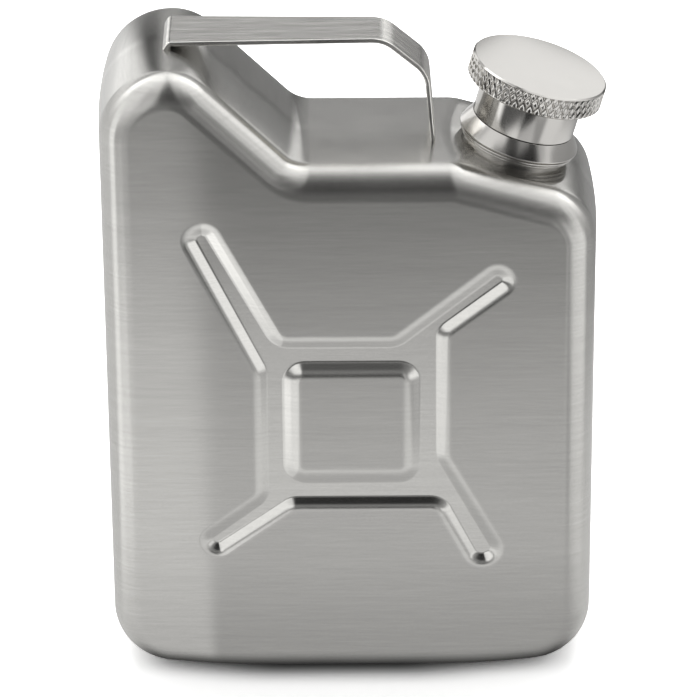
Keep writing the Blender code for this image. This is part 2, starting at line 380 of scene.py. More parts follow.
def cut_round_hole(piece, radius, depth, place, steps):
    """Cuts a round hole through the piece, centred on the place and along its z axis."""
    tool = bmesh.new()
    bmesh.ops.create_cone(
        tool,
        cap_ends=True,
        segments=steps,
        radius1=radius,
        radius2=radius,
        depth=depth,
        matrix=place,
    )
    cutter = new_object("hole", mesh_data(tool, "hole", smooth=False))
    cut = piece.modifiers.new("Hole", "BOOLEAN")
    cut.operation = "DIFFERENCE"
    cut.solver = "EXACT"
    cut.object = cutter
    keep_modified_mesh(piece)
    bpy.data.objects.remove(cutter, do_unlink=True)


def new_material(name):
    """A new material and its node tree."""
    material = bpy.data.materials.new(name)
    material.use_nodes = True
    return material, material.node_tree


def math_node(tree, operation, first, second=None, third=None):
    """The result of a sum on up to three values, each a number or a socket."""
    node = tree.nodes.new("ShaderNodeMath")
    node.operation = operation
    for index, value in enumerate((first, second, third)):
        if value is None:
            continue
        if isinstance(value, (int, float)):
            node.inputs[index].default_value = value
        else:
            tree.links.new(value, node.inputs[index])
    return node.outputs[0]


def step_node(tree, value, start, end, low=0.0, high=1.0):
    """A smooth step of a value, from low at start to high at end."""
    node = tree.nodes.new("ShaderNodeMapRange")
    node.interpolation_type = "SMOOTHSTEP"
    node.inputs["From Min"].default_value = start
    node.inputs["From Max"].default_value = end
    node.inputs["To Min"].default_value = low
    node.inputs["To Max"].default_value = high
    tree.links.new(value, node.inputs["Value"])
    return node.outputs["Result"]


noise_roughness = 0.6


def stretched_noise(tree, place, scale, detail):
    """Noise on scaled coordinates, so that it runs as streaks. Its mean is one half."""
    mapping = tree.nodes.new("ShaderNodeMapping")
    mapping.inputs["Scale"].default_value = scale
    tree.links.new(place, mapping.inputs["Vector"])
    noise = tree.nodes.new("ShaderNodeTexNoise")
    noise.inputs["Scale"].default_value = 1.0
    noise.inputs["Detail"].default_value = detail
    noise.inputs["Roughness"].default_value = noise_roughness
    tree.links.new(mapping.outputs["Vector"], noise.inputs["Vector"])
    return noise.outputs["Fac"]


def varied(tree, noise, middle, spread):
    """A value that the noise spreads round its middle."""
    return math_node(tree, "MULTIPLY_ADD", noise, spread, middle - spread / 2)


# Layers of the brushed grain: scale along the axes, detail and share
grain_layers = (
    ((260, 260, 5200), 3.0, 0.30),
    ((90, 90, 2200), 2.0, 0.25),
    ((2600, 3600, 3600), 2.0, 0.25),
    ((14, 14, 420), 2.0, 0.20),
)
grain_mean = 0.5
# Every other noise: scale along the axes and detail
grain_clouds = ((60, 60, 60), 2.0)


def make_grain_group():
    """Brushing marks and soft clouds: a tone near 1, a height, and wear between 0 and 1."""
    group = bpy.data.node_groups.new("brushed_grain", "ShaderNodeTree")
    face = group.interface
    for name, kind in (
        ("Vector", "NodeSocketVector"),
        ("Streak Strength", "NodeSocketFloat"),
        ("Cloud Strength", "NodeSocketFloat"),
    ):
        face.new_socket(name=name, in_out="INPUT", socket_type=kind)
    for name in ("Tone", "Height", "Wear"):
        face.new_socket(name=name, in_out="OUTPUT", socket_type="NodeSocketFloat")
    entry = group.nodes.new("NodeGroupInput")
    exit_node = group.nodes.new("NodeGroupOutput")
    place = entry.outputs["Vector"]
    streaks = -grain_mean
    for scale, detail, share in grain_layers:
        layer = stretched_noise(group, place, scale, detail)
        streaks = math_node(group, "MULTIPLY_ADD", layer, share, streaks)
    clouds = stretched_noise(group, place, *grain_clouds)
    cloudy = varied(group, clouds, 0, 1)
    tone = math_node(group, "MULTIPLY_ADD", streaks, entry.outputs["Streak Strength"], 1.0)
    tone = math_node(group, "MULTIPLY_ADD", cloudy, entry.outputs["Cloud Strength"], tone)
    group.links.new(tone, exit_node.inputs["Tone"])
    group.links.new(streaks, exit_node.inputs["Height"])
    group.links.new(clouds, exit_node.inputs["Wear"])
    return group


grain_group = make_grain_group()


def lay_finish(tree, shader, color, tone, roughness):
    """Gives the shader a colour, lightened and darkened by the tone, and a roughness."""
    scale = tree.nodes.new("ShaderNodeVectorMath")
    scale.operation = "SCALE"
    scale.inputs[0].default_value = color
    tree.links.new(tone, scale.inputs["Scale"])
    tree.links.new(scale.outputs["Vector"], shader.inputs["Base Color"])
    tree.links.new(roughness, shader.inputs["Roughness"])


def add_bump(tree, shader, height, strength, distance):
    """Raises the surface by a height between 0 and 1 times the distance."""
    bump = tree.nodes.new("ShaderNodeBump")
    bump.inputs["Strength"].default_value = strength
    bump.inputs["Distance"].default_value = distance
    tree.links.new(height, bump.inputs["Height"])
    tree.links.new(bump.outputs["Normal"], shader.inputs["Normal"])


def lay_grain(tree, shader, direction):
    """Sets the direction across the brushing marks, in which reflections are drawn out."""
    across = tree.nodes.new("ShaderNodeCombineXYZ")
    for socket, value in zip(across.inputs, direction):
        socket.default_value = value
    tree.links.new(across.outputs["Vector"], shader.inputs["Tangent"])


def object_place(tree):
    """Object coordinates, in which the patterns of each piece lie."""
    return tree.nodes.new("ShaderNodeTexCoord").outputs["Object"]


def split_place(tree, place):
    """The x, y and z of a place."""
    split = tree.nodes.new("ShaderNodeSeparateXYZ")
    tree.links.new(place, split.inputs["Vector"])
    return split.outputs


def metal_material(name, anisotropy):
    """A new metal, its node tree and its shader."""
    material, tree = new_material(name)
    shader = tree.nodes["Principled BSDF"]
    shader.inputs["Metallic"].default_value = 1.0
    shader.inputs["Anisotropic"].default_value = anisotropy
    return material, tree, shader


body_steel_color = (0.560, 0.553, 0.532)
body_anisotropy = 1.0
body_roughness = 0.205
body_roughness_spread = 0.05
body_streak_strength = 0.48
body_cloud_strength = 0.08
body_bump = (0.15, 0.00001)
body_across_grain = (0.0, -0.15, 1.0)
# What each mark adds to the tone and to the roughness. The tone that the pressed mark adds
# # is painted light over the cross, and the one on its slanted walls a painted highlight;
# # the lower roughness in the cross is its own.
body_marks = (
    ("pressed", 0.08, -0.085),
    ("painted_wall_highlight", 0.08, 0.0),
    ("rounded", 0.0, 0.045),
)
# The ground and polished weld, a wavering strip round the middle
weld_half_width = 0.0019
weld_waver = 0.0030
weld_waver_noise = ((150, 40, 150), 1.0)
weld_tone = 0.07
weld_roughness = -0.03


def make_body_steel():
    """Stainless sheet with a level brushed grain, smoother in the pressed cross, where painted
    light lightens the tone and a painted highlight its walls.
    """
    material, tree, shader = metal_material("body_brushed_steel", body_anisotropy)
    place = object_place(tree)
    grain = tree.nodes.new("ShaderNodeGroup")
    grain.node_tree = grain_group
    grain.inputs["Streak Strength"].default_value = body_streak_strength
    grain.inputs["Cloud Strength"].default_value = body_cloud_strength
    tree.links.new(place, grain.inputs["Vector"])
    waver = stretched_noise(tree, place, *weld_waver_noise)
    off_weld = math_node(tree, "ADD", split_place(tree, place)["Y"],
                         varied(tree, waver, 0, weld_waver))
    weld = step_node(tree, math_node(tree, "ABSOLUTE", off_weld), weld_half_width, 0)
    tone = math_node(tree, "MULTIPLY_ADD", weld, weld_tone, grain.outputs["Tone"])
    finish = varied(tree, grain.outputs["Wear"], body_roughness, body_roughness_spread)
    finish = math_node(tree, "MULTIPLY_ADD", weld, weld_roughness, finish)
    # The marks add painted light to the tone of the pressed cross and a painted highlight to
    # its walls, and change the roughness.
    for mark_name, mark_tone, mark_roughness in body_marks:
        mark = tree.nodes.new("ShaderNodeAttribute")
        mark.attribute_name = mark_name
        tone = math_node(tree, "MULTIPLY_ADD", mark.outputs["Fac"], mark_tone, tone)
        finish = math_node(tree, "MULTIPLY_ADD", mark.outputs["Fac"], mark_roughness, finish)
    lay_finish(tree, shader, body_steel_color, tone, finish)
    add_bump(tree, shader, grain.outputs["Height"], *body_bump)
    lay_grain(tree, shader, body_across_grain)
    return material


body_steel = make_body_steel()


def make_half_shell(name, node, side):
    """One half of the body, given its sheet's thickness and cut for the neck."""
    shell = add_piece(name, half_shell_mesh(name, side), "flask", node)
    wall = shell.modifiers.new("Sheet", "SOLIDIFY")
    wall.thickness = sheet_thickness
    wall.offset = -1
    cut_round_hole(shell, neck_hole_radius, body_depth / 2, neck_place, neck_hole_steps)
    shell.data.materials.clear()
    shell.data.materials.append(body_steel)
    shell.data.set_sharp_from_angle(angle=body_sharp_angle)


make_half_shell("front_half_shell", "front_shell", -1)
make_half_shell("back_half_shell", "back_shell", 1)


# Neck
# A turned stainless mouth piece, welded into the hole in the shoulder by its foot. It
# has two thin rings, a conical collar that the cap closes on, and a threaded tube.
neck_bore_radius = 0.0052
neck_tube_radius = 0.0061
neck_spigot_radius = 0.00615
neck_spigot_length = 0.0016
neck_foot_radius = 0.0076
neck_ring_radius = 0.00842
neck_groove_radius = 0.00805
neck_low_ring_radius = 0.00812
neck_low_groove_radius = 0.00775
neck_collar_radius = 0.0087
neck_collar_top_radius = 0.0074
neck_foot_top = 0.00040
neck_low_ring_base = 0.00055
neck_low_ring_top = 0.00088
neck_ring_base = 0.00104
neck_ring_top = 0.00142
neck_rim_height = 0.00172
neck_collar_band = 0.0002
neck_collar_height = 0.0040
neck_mouth_height = 0.0096
neck_soft_radius = 0.00008
neck_lip_radius = 0.00028
thread_pitch = 0.0015
thread_start = 0.0047
thread_end = 0.0090
thread_height = 0.00030
thread_fade = 0.0006
thread_rows = 60
# The thread's ridge is full where this line is above 1 and gone where it is below 0
thread_ridge_height = 1.6
thread_ridge_fall = 4.2
neck_sharp_angle = math.radians(50)
turned_steps = 144
round_steps = 4
merge_distance = 0.000002
surface_tolerance = 0.00001


def corner_arc(points, index, radius, steps):
    """Points of the arc that rounds a corner of an outline, or the sharp corner itself."""
    here = Vector(points[index][:2])
    if radius == 0 or index in (0, len(points) - 1):
        return [here]
    before = (Vector(points[index - 1][:2]) - here).normalized()
    after = (Vector(points[index + 1][:2]) - here).normalized()
    half = before.angle(after) / 2
    reach = radius / math.tan(half)
    center = here + (before + after).normalized() * radius / math.sin(half)
    start = here + before * reach - center
    end = here + after * reach - center
    sweep = start.angle_signed(end)
    return [
        center + Matrix.Rotation(-sweep * step / steps, 2) @ start
        for step in range(steps + 1)
    ]


def rounded_profile(points):
    """A turned outline of radius, height and corner radius, with its corners rounded."""
    line = []
    for index, point in enumerate(points):
        line += corner_arc(points, index, point[2], round_steps)
    return line


def turned_mesh(name, line, steps, sharp_angle, closed=False, reshape=None):
    """Spins an outline of radius and height about the neck's axis."""
    mesh = bmesh.new()
    ring = [mesh.verts.new((point[0], 0, point[1])) for point in line]
    edges = [mesh.edges.new(pair) for pair in zip(ring, ring[1:])]
    if closed:
        edges.append(mesh.edges.new((ring[-1], ring[0])))
    bmesh.ops.spin(
        mesh,
        geom=ring + edges,
        cent=(0, 0, 0),
        axis=(0, 0, 1),
        dvec=(0, 0, 0),
        angle=2 * math.pi,
        steps=steps,
        use_merge=True,
    )
    bmesh.ops.remove_doubles(mesh, verts=mesh.verts, dist=merge_distance)
    bmesh.ops.recalc_face_normals(mesh, faces=mesh.faces)
    if reshape:
        for vert in mesh.verts:
            reshape(vert)
    bmesh.ops.transform(mesh, matrix=neck_place, verts=mesh.verts)
    data = mesh_data(mesh, name)
    data.set_sharp_from_angle(angle=sharp_angle)
    return data


def run_of_points(radius, start, end, count):
    """Points of a straight stretch of an outline, from one height to another."""
    return [(radius, start + (end - start) * step / count, 0) for step in range(1, count)]


def thread_share(height, angle, start, end):
    """Height of a right-handed thread as a share, faded out at both ends."""
    turn = (height / thread_pitch - angle / (2 * math.pi)) % 1
    ridge = min(max(thread_ridge_height - thread_ridge_fall * abs(turn - 0.5), 0), 1)
    fade = min((height - start) / thread_fade, (end - height) / thread_fade, 1)
    return ridge * max(fade, 0)


def lies_on(radius, turned_radius):
    """Whether a vertex at this radius is on the turned face of that radius."""
    return abs(radius - turned_radius) < surface_tolerance


def cut_neck_thread(vert):
    """Raises the thread on the neck's tube."""
    radius = math.hypot(vert.co.x, vert.co.y)
    if lies_on(radius, neck_tube_radius) and thread_start < vert.co.z < thread_end:
        angle = math.atan2(vert.co.y, vert.co.x)
        share = thread_share(vert.co.z, angle, thread_start, thread_end)
        grow = 1 + thread_height * share / radius
        vert.co.x *= grow
        vert.co.y *= grow


neck_profile = rounded_profile([
    (neck_bore_radius, neck_mouth_height - neck_lip_radius, 0),
    (neck_bore_radius, neck_mouth_height, neck_lip_radius),
    (neck_tube_radius, neck_mouth_height, neck_lip_radius),
    *run_of_points(neck_tube_radius, neck_mouth_height - neck_lip_radius,
                   neck_collar_height, thread_rows),
    (neck_tube_radius, neck_collar_height, 0),
    (neck_collar_top_radius, neck_collar_height, neck_soft_radius),
    (neck_collar_radius, neck_rim_height + neck_collar_band, neck_soft_radius),
    (neck_collar_radius, neck_rim_height, neck_soft_radius),
    (neck_groove_radius, neck_rim_height, 0),
    (neck_groove_radius, neck_ring_top, 0),
    (neck_ring_radius, neck_ring_top, neck_soft_radius),
    (neck_ring_radius, neck_ring_base, neck_soft_radius),
    (neck_low_groove_radius, neck_ring_base, 0),
    (neck_low_groove_radius, neck_low_ring_top, 0),
    (neck_low_ring_radius, neck_low_ring_top, neck_soft_radius),
    (neck_low_ring_radius, neck_low_ring_base, neck_soft_radius),
    (neck_foot_radius, neck_low_ring_base, 0),
    (neck_foot_radius, neck_foot_top, 0),
    (neck_foot_radius, 0, 0),
    (neck_spigot_radius, 0, 0),
    (neck_spigot_radius, -neck_spigot_length, 0),
    (neck_bore_radius, -neck_spigot_length, 0),
])

turned_steel_color = (0.590, 0.576, 0.552)
turned_clouds = ((220, 220, 220), 2.0)
turned_tone_spread = 0.10
turned_roughness_spread = 0.06
lathe_lines = ((1, 1, 9000), 3.0)
lathe_line_height = 0.00002


def make_turned_steel(name, roughness, anisotropy, line_strength):
    """Polished stainless with the fine rings that the lathe leaves."""
    material, tree, shader = metal_material(name, anisotropy)
    place = object_place(tree)
    along = tree.nodes.new("ShaderNodeVectorMath")
    along.operation = "DOT_PRODUCT"
    along.inputs[1].default_value = neck_axis
    tree.links.new(place, along.inputs[0])
    height = tree.nodes.new("ShaderNodeCombineXYZ")
    tree.links.new(along.outputs["Value"], height.inputs["Z"])
    rings = stretched_noise(tree, height.outputs["Vector"], *lathe_lines)
    clouds = stretched_noise(tree, place, *turned_clouds)
    tone = varied(tree, clouds, 1, turned_tone_spread)
    finish = varied(tree, clouds, roughness, turned_roughness_spread)
    lay_finish(tree, shader, turned_steel_color, tone, finish)
    add_bump(tree, shader, rings, line_strength, lathe_line_height)
    lay_grain(tree, shader, neck_axis)
    return material


neck_steel = make_turned_steel("neck_turned_steel", roughness=0.20, anisotropy=0.3,
                               line_strength=0.14)
neck_data = turned_mesh("neck_mouth", neck_profile, turned_steps, neck_sharp_angle,
                        closed=True, reshape=cut_neck_thread)
neck_data.materials.append(neck_steel)
neck_piece = add_piece("neck_mouth", neck_data, "flask", "neck")


# Screw cap
# Turned from stainless bar: a head knurled at 30 degrees round its side, with a polished
# face and a chamfered rim, and a plain skirt that comes down on the neck's collar.
cap_head_radius = 0.0098
cap_face_radius = 0.00955
cap_top_height = 0.0127
cap_head_height = 0.0033
cap_rim_height = 0.00022
cap_foot_chamfer = 0.00018
cap_skirt_radius = 0.0074
cap_skirt_end = 0.00412
cap_inner_radius = 0.00672
cap_inner_thread = 0.00020
cap_roof_height = 0.0110
cap_soft_radius = 0.00006
knurl_count = 54
knurl_angle = math.radians(30)
knurl_depth = 0.00030
knurl_groove_share = 0.52
knurl_steps = 16
knurl_margin = 0.00004
cap_sharp_angle = math.radians(40)
knurl_spacing = 2 * math.pi * cap_head_radius / knurl_count
knurl_rise = knurl_spacing / math.tan(knurl_angle)
knurl_top = cap_top_height - cap_rim_height - knurl_margin
knurl_foot = cap_top_height - cap_head_height + cap_foot_chamfer + knurl_margin
knurl_rows = round((knurl_top - knurl_foot) / knurl_rise * knurl_steps)


def knurl_drop_share(angle, height):
    """Depth of the two families of grooves, as a share of the full depth."""
    around = angle / (2 * math.pi) * knurl_count
    up = height / knurl_rise
    deepest = 0
    for turn in (around + up, around - up):
        off = abs((turn + 0.5) % 1 - 0.5)
        deepest = max(deepest, 1 - off / (knurl_groove_share / 2))
    return deepest


def shape_cap(vert):
    """Cuts the knurl into the head's side and the thread into the bore."""
    radius = math.hypot(vert.co.x, vert.co.y)
    angle = math.atan2(vert.co.y, vert.co.x)
    grow = 1
    if lies_on(radius, cap_head_radius) and knurl_foot < vert.co.z < knurl_top:
        grow = 1 - knurl_depth * knurl_drop_share(angle, vert.co.z) / radius
    if lies_on(radius, cap_inner_radius) and vert.co.z < cap_roof_height:
        share = thread_share(vert.co.z, angle, cap_skirt_end, cap_roof_height)
        grow = 1 - cap_inner_thread * share / radius
    vert.co.x *= grow
    vert.co.y *= grow


cap_profile = rounded_profile([
    (0, cap_top_height, 0),
    (cap_face_radius, cap_top_height, cap_soft_radius),
    (cap_head_radius, cap_top_height - cap_rim_height, 0),
    (cap_head_radius, knurl_top, 0),
    *run_of_points(cap_head_radius, knurl_top, knurl_foot, knurl_rows),
    (cap_head_radius, knurl_foot, 0),
    (cap_head_radius, cap_top_height - cap_head_height + cap_foot_chamfer, 0),
    (cap_head_radius - cap_foot_chamfer, cap_top_height - cap_head_height, cap_soft_radius),
    (cap_skirt_radius, cap_top_height - cap_head_height, 0),
    (cap_skirt_radius, cap_skirt_end, cap_soft_radius),
    (cap_inner_radius, cap_skirt_end, cap_soft_radius),
    *run_of_points(cap_inner_radius, cap_skirt_end + cap_soft_radius,
                   cap_roof_height, thread_rows),
    (cap_inner_radius, cap_roof_height, 0),
    (0, cap_roof_height, 0),
])
cap_steel = make_turned_steel("cap_turned_steel", roughness=0.14, anisotropy=0.2,
                              line_strength=0.08)
cap_data = turned_mesh("screw_cap", cap_profile, knurl_count * knurl_steps, cap_sharp_angle,
                       reshape=shape_cap)
cap_data.materials.append(cap_steel)
cap_piece = add_piece("screw_cap", cap_data, "cap", "cap")


# Gasket
# A disc of white silicone pressed up against the roof of the cap. The mouth's lip bites
# into it when the cap is closed, so its face has a shallow ring.
seal_base = 0.00975
seal_top = 0.01085
seal_radius = 0.0062
seal_soft_radius = 0.00025
seal_ring_radius = 0.00565
seal_ring_width = 0.0004
seal_ring_depth = 0.00008
silicone_color = (0.80, 0.79, 0.75)
silicone_scatter_share = 0.15
silicone_scatter_depth = 0.001
silicone_clouds = ((900, 900, 900), 3.0)
silicone_tone_spread = 0.12
silicone_roughness = 0.55
silicone_roughness_spread = 0.2
silicone_bump = (0.1, 0.00003)

seal_profile = rounded_profile([
    (0, seal_top, 0),
    (seal_radius, seal_top, seal_soft_radius),
    (seal_radius, seal_base, seal_soft_radius),
    (seal_ring_radius + seal_ring_width / 2, seal_base, 0),
    (seal_ring_radius, seal_base + seal_ring_depth, 0),
    (seal_ring_radius - seal_ring_width / 2, seal_base, 0),
    (0, seal_base, 0),
])


def make_silicone():
    """Matt white silicone that lets a little light through."""
    material, tree = new_material("gasket_silicone")
    shader = tree.nodes["Principled BSDF"]
    shader.inputs["Subsurface Weight"].default_value = silicone_scatter_share
    shader.inputs["Subsurface Scale"].default_value = silicone_scatter_depth
    clouds = stretched_noise(tree, object_place(tree), *silicone_clouds)
    tone = varied(tree, clouds, 1, silicone_tone_spread)
    finish = varied(tree, clouds, silicone_roughness, silicone_roughness_spread)
    lay_finish(tree, shader, silicone_color, tone, finish)
    add_bump(tree, shader, clouds, *silicone_bump)
    return material


seal_data = turned_mesh("cap_seal", seal_profile, turned_steps, cap_sharp_angle)
seal_data.materials.append(make_silicone())
seal_piece = add_piece("cap_seal", seal_data, "seal", "cap_gasket")


# Strap handle
# One strip of 0.7 mm stainless, brushed along its length, bent at four places and a
# little narrower at the right. Both ends are spot welded to the body from above.
strap_thickness = 0.0007
strap_rise = 0.00125
strap_left_width = 0.0094
strap_right_width = 0.0079
strap_foot_width = 0.0090
strap_end_inset = 0.00986
strap_end_lean = 0.00065
strap_fall_run = 0.0060
strap_knee_height = 0.01045
strap_leg_lean = 0.00085
strap_foot_back = 0.00325
strap_bend_radius = 0.0045
strap_end_radius = 0.0005
strap_edge_round = 0.00022
strap_bend_steps = 14
strap_edge_steps = 3
strap_edge_angle = math.radians(60)


def strap_route():
    """Middle line of the strap from its left end to its foot: place and width."""
    top = body_top + strap_rise
    left_x = strap_end_inset - body_width / 2
    foot_x = shoulder_start_x - strap_foot_back
    knee_x = foot_x - strap_leg_lean
    bend_x = knee_x - strap_fall_run
    corners = (
        (left_x - strap_end_lean, body_top + wall_crown / 2, 0, strap_left_width),
        (left_x, top, strap_end_radius, strap_left_width),
        (bend_x, top, strap_bend_radius, strap_right_width),
        (knee_x, dip_level + strap_knee_height, strap_bend_radius, strap_right_width),
        (foot_x, dip_level + wall_crown / 2, 0, strap_foot_width),
    )
    route = []
    for index, (x, height, radius, width) in enumerate(corners):
        for point in corner_arc(corners, index, radius, strap_bend_steps):
            route.append((point, width))
    return route


def strap_mesh():
    """The strap's middle surface: its line drawn across to the other edge."""
    mesh = bmesh.new()
    line = []
    for point, width in strap_route():
        line.append(mesh.verts.new((point.x + body_middle_x, -width / 2, point.y)))
    for pair in zip(line, line[1:]):
        mesh.edges.new(pair)
    ribbon = bmesh.ops.extrude_edge_only(mesh, edges=mesh.edges[:])
    for corner in ribbon["geom"]:
        if isinstance(corner, bmesh.types.BMVert):
            corner.co.y = -corner.co.y
    bmesh.ops.recalc_face_normals(mesh, faces=mesh.faces)
    return mesh_data(mesh, "strap_handle")


# Lighter than the body's sheet of the same steel: painted light that brightens the strap.
strap_steel_lightened_color = (0.740, 0.728, 0.700)
strap_anisotropy = 1.0
strap_fine_lines = ((260, 5200, 260), 3.0)
strap_fine_share = 0.6
strap_coarse_lines = ((110, 1900, 110), 2.0)
strap_tone = 1.03
strap_tone_spread = 0.9
strap_roughness = 0.19
strap_roughness_spread = 0.08
strap_bump = (0.5, 0.00003)
strap_across_grain = (0.03, 1.0, 0.0)


def make_strap_steel():
    """Stainless strip with a coarser grain along its length, lightened by painted light."""
    material, tree, shader = metal_material("strap_brushed_steel", strap_anisotropy)
    place = object_place(tree)
    fine = stretched_noise(tree, place, *strap_fine_lines)
    coarse = stretched_noise(tree, place, *strap_coarse_lines)
    grain = math_node(tree, "MULTIPLY_ADD", fine, strap_fine_share,
                      math_node(tree, "MULTIPLY", coarse, 1 - strap_fine_share))
    tone = varied(tree, grain, strap_tone, strap_tone_spread)
    finish = varied(tree, coarse, strap_roughness, strap_roughness_spread)
    lay_finish(tree, shader, strap_steel_lightened_color, tone, finish)
    add_bump(tree, shader, grain, *strap_bump)
    lay_grain(tree, shader, strap_across_grain)
    return material


strap_piece = add_piece("strap_handle", strap_mesh(), "flask", "handle")
strap_piece.data.materials.append(make_strap_steel())
strap_plate = strap_piece.modifiers.new("Strip", "SOLIDIFY")
strap_plate.thickness = strap_thickness
strap_plate.offset = 0
strap_plate.use_even_offset = True
strap_bevel = strap_piece.modifiers.new("Soft edges", "BEVEL")
strap_bevel.width = strap_edge_round
strap_bevel.segments = strap_edge_steps
strap_bevel.limit_method = "ANGLE"
strap_bevel.angle_limit = strap_edge_angle
strap_bevel.harden_normals = True
keep_modified_mesh(strap_piece)


# Studio
# A pale table with a painted contact shadow, which glows with painted light and shade for
# # the steel, a wide soft light above and behind the flask, a lit card at the right, and the
# # room with its light and dark panels that the steel mirrors. None of it is part of the
# object.


def mix_values(tree, share, low, high):
    """low where the share is 0, high where it is 1. Both are numbers or sockets."""
    node = tree.nodes.new("ShaderNodeMix")
    node.data_type = "FLOAT"
    node.clamp_factor = True
    tree.links.new(share, node.inputs[0])
    for socket, value in zip(node.inputs[2:4], (low, high)):
        if isinstance(value, (int, float)):
            socket.default_value = value
        else:
            tree.links.new(value, socket)
    return node.outputs[0]


def both(tree, first, second):
    """The share in which two shares overlap."""
    return math_node(tree, "MULTIPLY", first, second)


def between(tree, value, start, end, soft):
    """1 where the value lies between start and end, with soft edges."""
    rise = step_node(tree, value, start - soft, start + soft)
    fall = step_node(tree, value, end - soft, end + soft, 1.0, 0.0)
    return both(tree, rise, fall)


def degrees_of(tree, radians_value):
    return math_node(tree, "MULTIPLY", radians_value, 180 / math.pi)


def lay_out(tree, place):
    """The axes of a place, how far ahead it is, and its bearing in degrees to the right."""
    axes = split_place(tree, place)
    ahead = math_node(tree, "MULTIPLY", axes["Y"], -1.0)
    bearing = degrees_of(tree, math_node(tree, "ARCTAN2", axes["X"], ahead))
    return axes, ahead, bearing


# Levels are the strength that the steel mirrors. The other rays meet the plain level.
room_plain_level = 0.85
room_base_level = 0.78
# Each panel: bearing from and to, height above the horizon from and to, both in degrees,
# and level. Later ones lie over earlier ones.
room_panels = (
    (118, 200, -10, 38, 0.50),
    (136, 176, -6, 12, 0.12),
    (72, 118, -10, 14, 0.55),
    (44, 72, -10, 14, 1.20),
    (66, 110, 14, 38, 1.20),
    (42, 135, 38, 62, 1.60),
    (30, 112, 62, 82, 1.40),
    (152, 208, 62, 82, 1.50),
    (-150, -20, 62, 82, 1.38),
    (-165, -66, 14, 38, 1.60),
    (-80, -14, 38, 62, 1.30),
    (-68, -30, 12, 38, 1.45),
    (-30, -8, 12, 38, 1.05),
    (-82, -8, -10, 13, 1.62),
    (-158, -142, -10, 14, 1.80),
    (-172, -160, 12, 38, 0.05),
    (-10, 40, -10, 11, 0.36),
    (-13, 52, 11, 44, 0.02),
    (-16, 16, 42, 84, 0.10),
    (-42, -14, 33, 46, 0.10),
    (14, 40, 37, 60, 0.52),
    (-180, 180, 83, 91, 0.60),
)
panel_bearing_soft = 4
panel_height_soft = 3
# The mirrored softbox runs across, just behind the zenith. There the climb is 90 degrees.
softbox_climb = (96, 120)
softbox_climb_soft = 3
softbox_reach = 0.80
softbox_reach_soft = 0.06
softbox_level = 3.3


def make_room():
    """The room that the steel mirrors, drawn as soft-edged panels of light and dark."""
    world = bpy.data.worlds.new("studio_room")
    bpy.context.scene.world = world
    world.use_nodes = True
    tree = world.node_tree
    tree.nodes.clear()
    place = tree.nodes.new("ShaderNodeTexCoord").outputs["Generated"]
    axes, ahead, bearing = lay_out(tree, place)
    height = degrees_of(tree, math_node(tree, "ARCSINE", axes["Z"]))
    level = room_base_level
    for start, end, low, high, panel_level in room_panels:
        middle = (start + end) / 2
        off = math_node(tree, "WRAP", math_node(tree, "SUBTRACT", bearing, middle), 180, -180)
        off = math_node(tree, "ABSOLUTE", off)
        half = (end - start) / 2
        aside = step_node(tree, off, half - panel_bearing_soft, half + panel_bearing_soft, 1, 0)
        upright = between(tree, height, low, high, panel_height_soft)
        level = mix_values(tree, both(tree, aside, upright), level, panel_level)
    climb = degrees_of(tree, math_node(tree, "ARCTAN2", axes["Z"], ahead))
    softbox = both(tree, between(tree, climb, *softbox_climb, softbox_climb_soft),
                   between(tree, axes["X"], -softbox_reach, softbox_reach,
                           softbox_reach_soft))
    level = mix_values(tree, softbox, level, softbox_level)
    path = tree.nodes.new("ShaderNodeLightPath")
    level = mix_values(tree, path.outputs["Is Glossy Ray"], room_plain_level, level)
    for white_ray in ("Is Camera Ray", "Is Transmission Ray"):
        level = mix_values(tree, path.outputs[white_ray], level, 1.0)
    background = tree.nodes.new("ShaderNodeBackground")
    tree.links.new(level, background.inputs["Strength"])
    output = tree.nodes.new("ShaderNodeOutputWorld")
    tree.links.new(background.outputs["Background"], output.inputs["Surface"])


table_size = 3.0
table_white = 2.05
table_plain_white = 0.80
# A shadow painted where the flask touches the table, which fades towards its two ends
painted_shadow_darkest = 0.25
painted_shadow_reach = 0.0069
painted_shadow_middle_x = -0.002
painted_shadow_half_width = 0.008
painted_shadow_half_depth = 0.0114
painted_shadow_end_share = 0.30
# The lit zone in front of the flask, by the distance from its front and by x
front_start = (-0.008, 0.004)
front_end = (0.34, 0.28)
front_sides = (-0.050, 0.052)
front_side_soft = 0.009
# Painted shade makes it darker near the flask, as the flask's shadow, and far off, and
# # painted light makes it lighter to the left of a slanting line.
# Each zone: distance at which it starts to fade in and at which it is full, and level.
front_right_level = 0.85
front_right_zones = (
    (0.065, 0.105, 0.70),
    (0.138, 0.150, 0.03),
    (0.045, 0.012, 0.56),
)
front_left_level = 1.08
front_left_zones = (
    (0.142, 0.165, 0.20),
    (0.045, 0.012, 0.80),
)
left_edge_x = -0.0209
left_edge_slope = 0.046
left_edge_soft = 0.0012
# The rest of the table, painted in pools of light and shade: bearing from and to in degrees,
# and level
table_side_level = 0.88
table_pools = (
    (-80, -38, 1.50),
    (-38, -12, 1.10),
    (-12, 14, 0.28),
    (14, 44, 0.45),
    (44, 78, 1.00),
    (78, 180, 0.95),
)
pools_start = (0.06, 0.09)
bearing_soft = 6
# Its parts farther out: distance from and to, bearing from and to, and level
table_far_parts = (
    (0.19, 2.00, -62, 10, 0.12),
    (0.13, 2.00, 84, 180, 0.40),
    (0.17, 2.00, 26, 78, 1.30),
)
far_part_soft = 0.02
# A shadow painted on the footprint, dark in the base's mirror image
footprint_shadow_level = 0.04
footprint_sides = (-0.034, 0.034)
footprint_side_soft = 0.004
footprint_depth = (0.0185, 0.0125)


def zone_levels(tree, out, level, zones):
    """Levels of the zone in front, by the distance out from the flask."""
    for start, end, zone_level in zones:
        level = mix_values(tree, step_node(tree, out, start, end), level, zone_level)
    return level


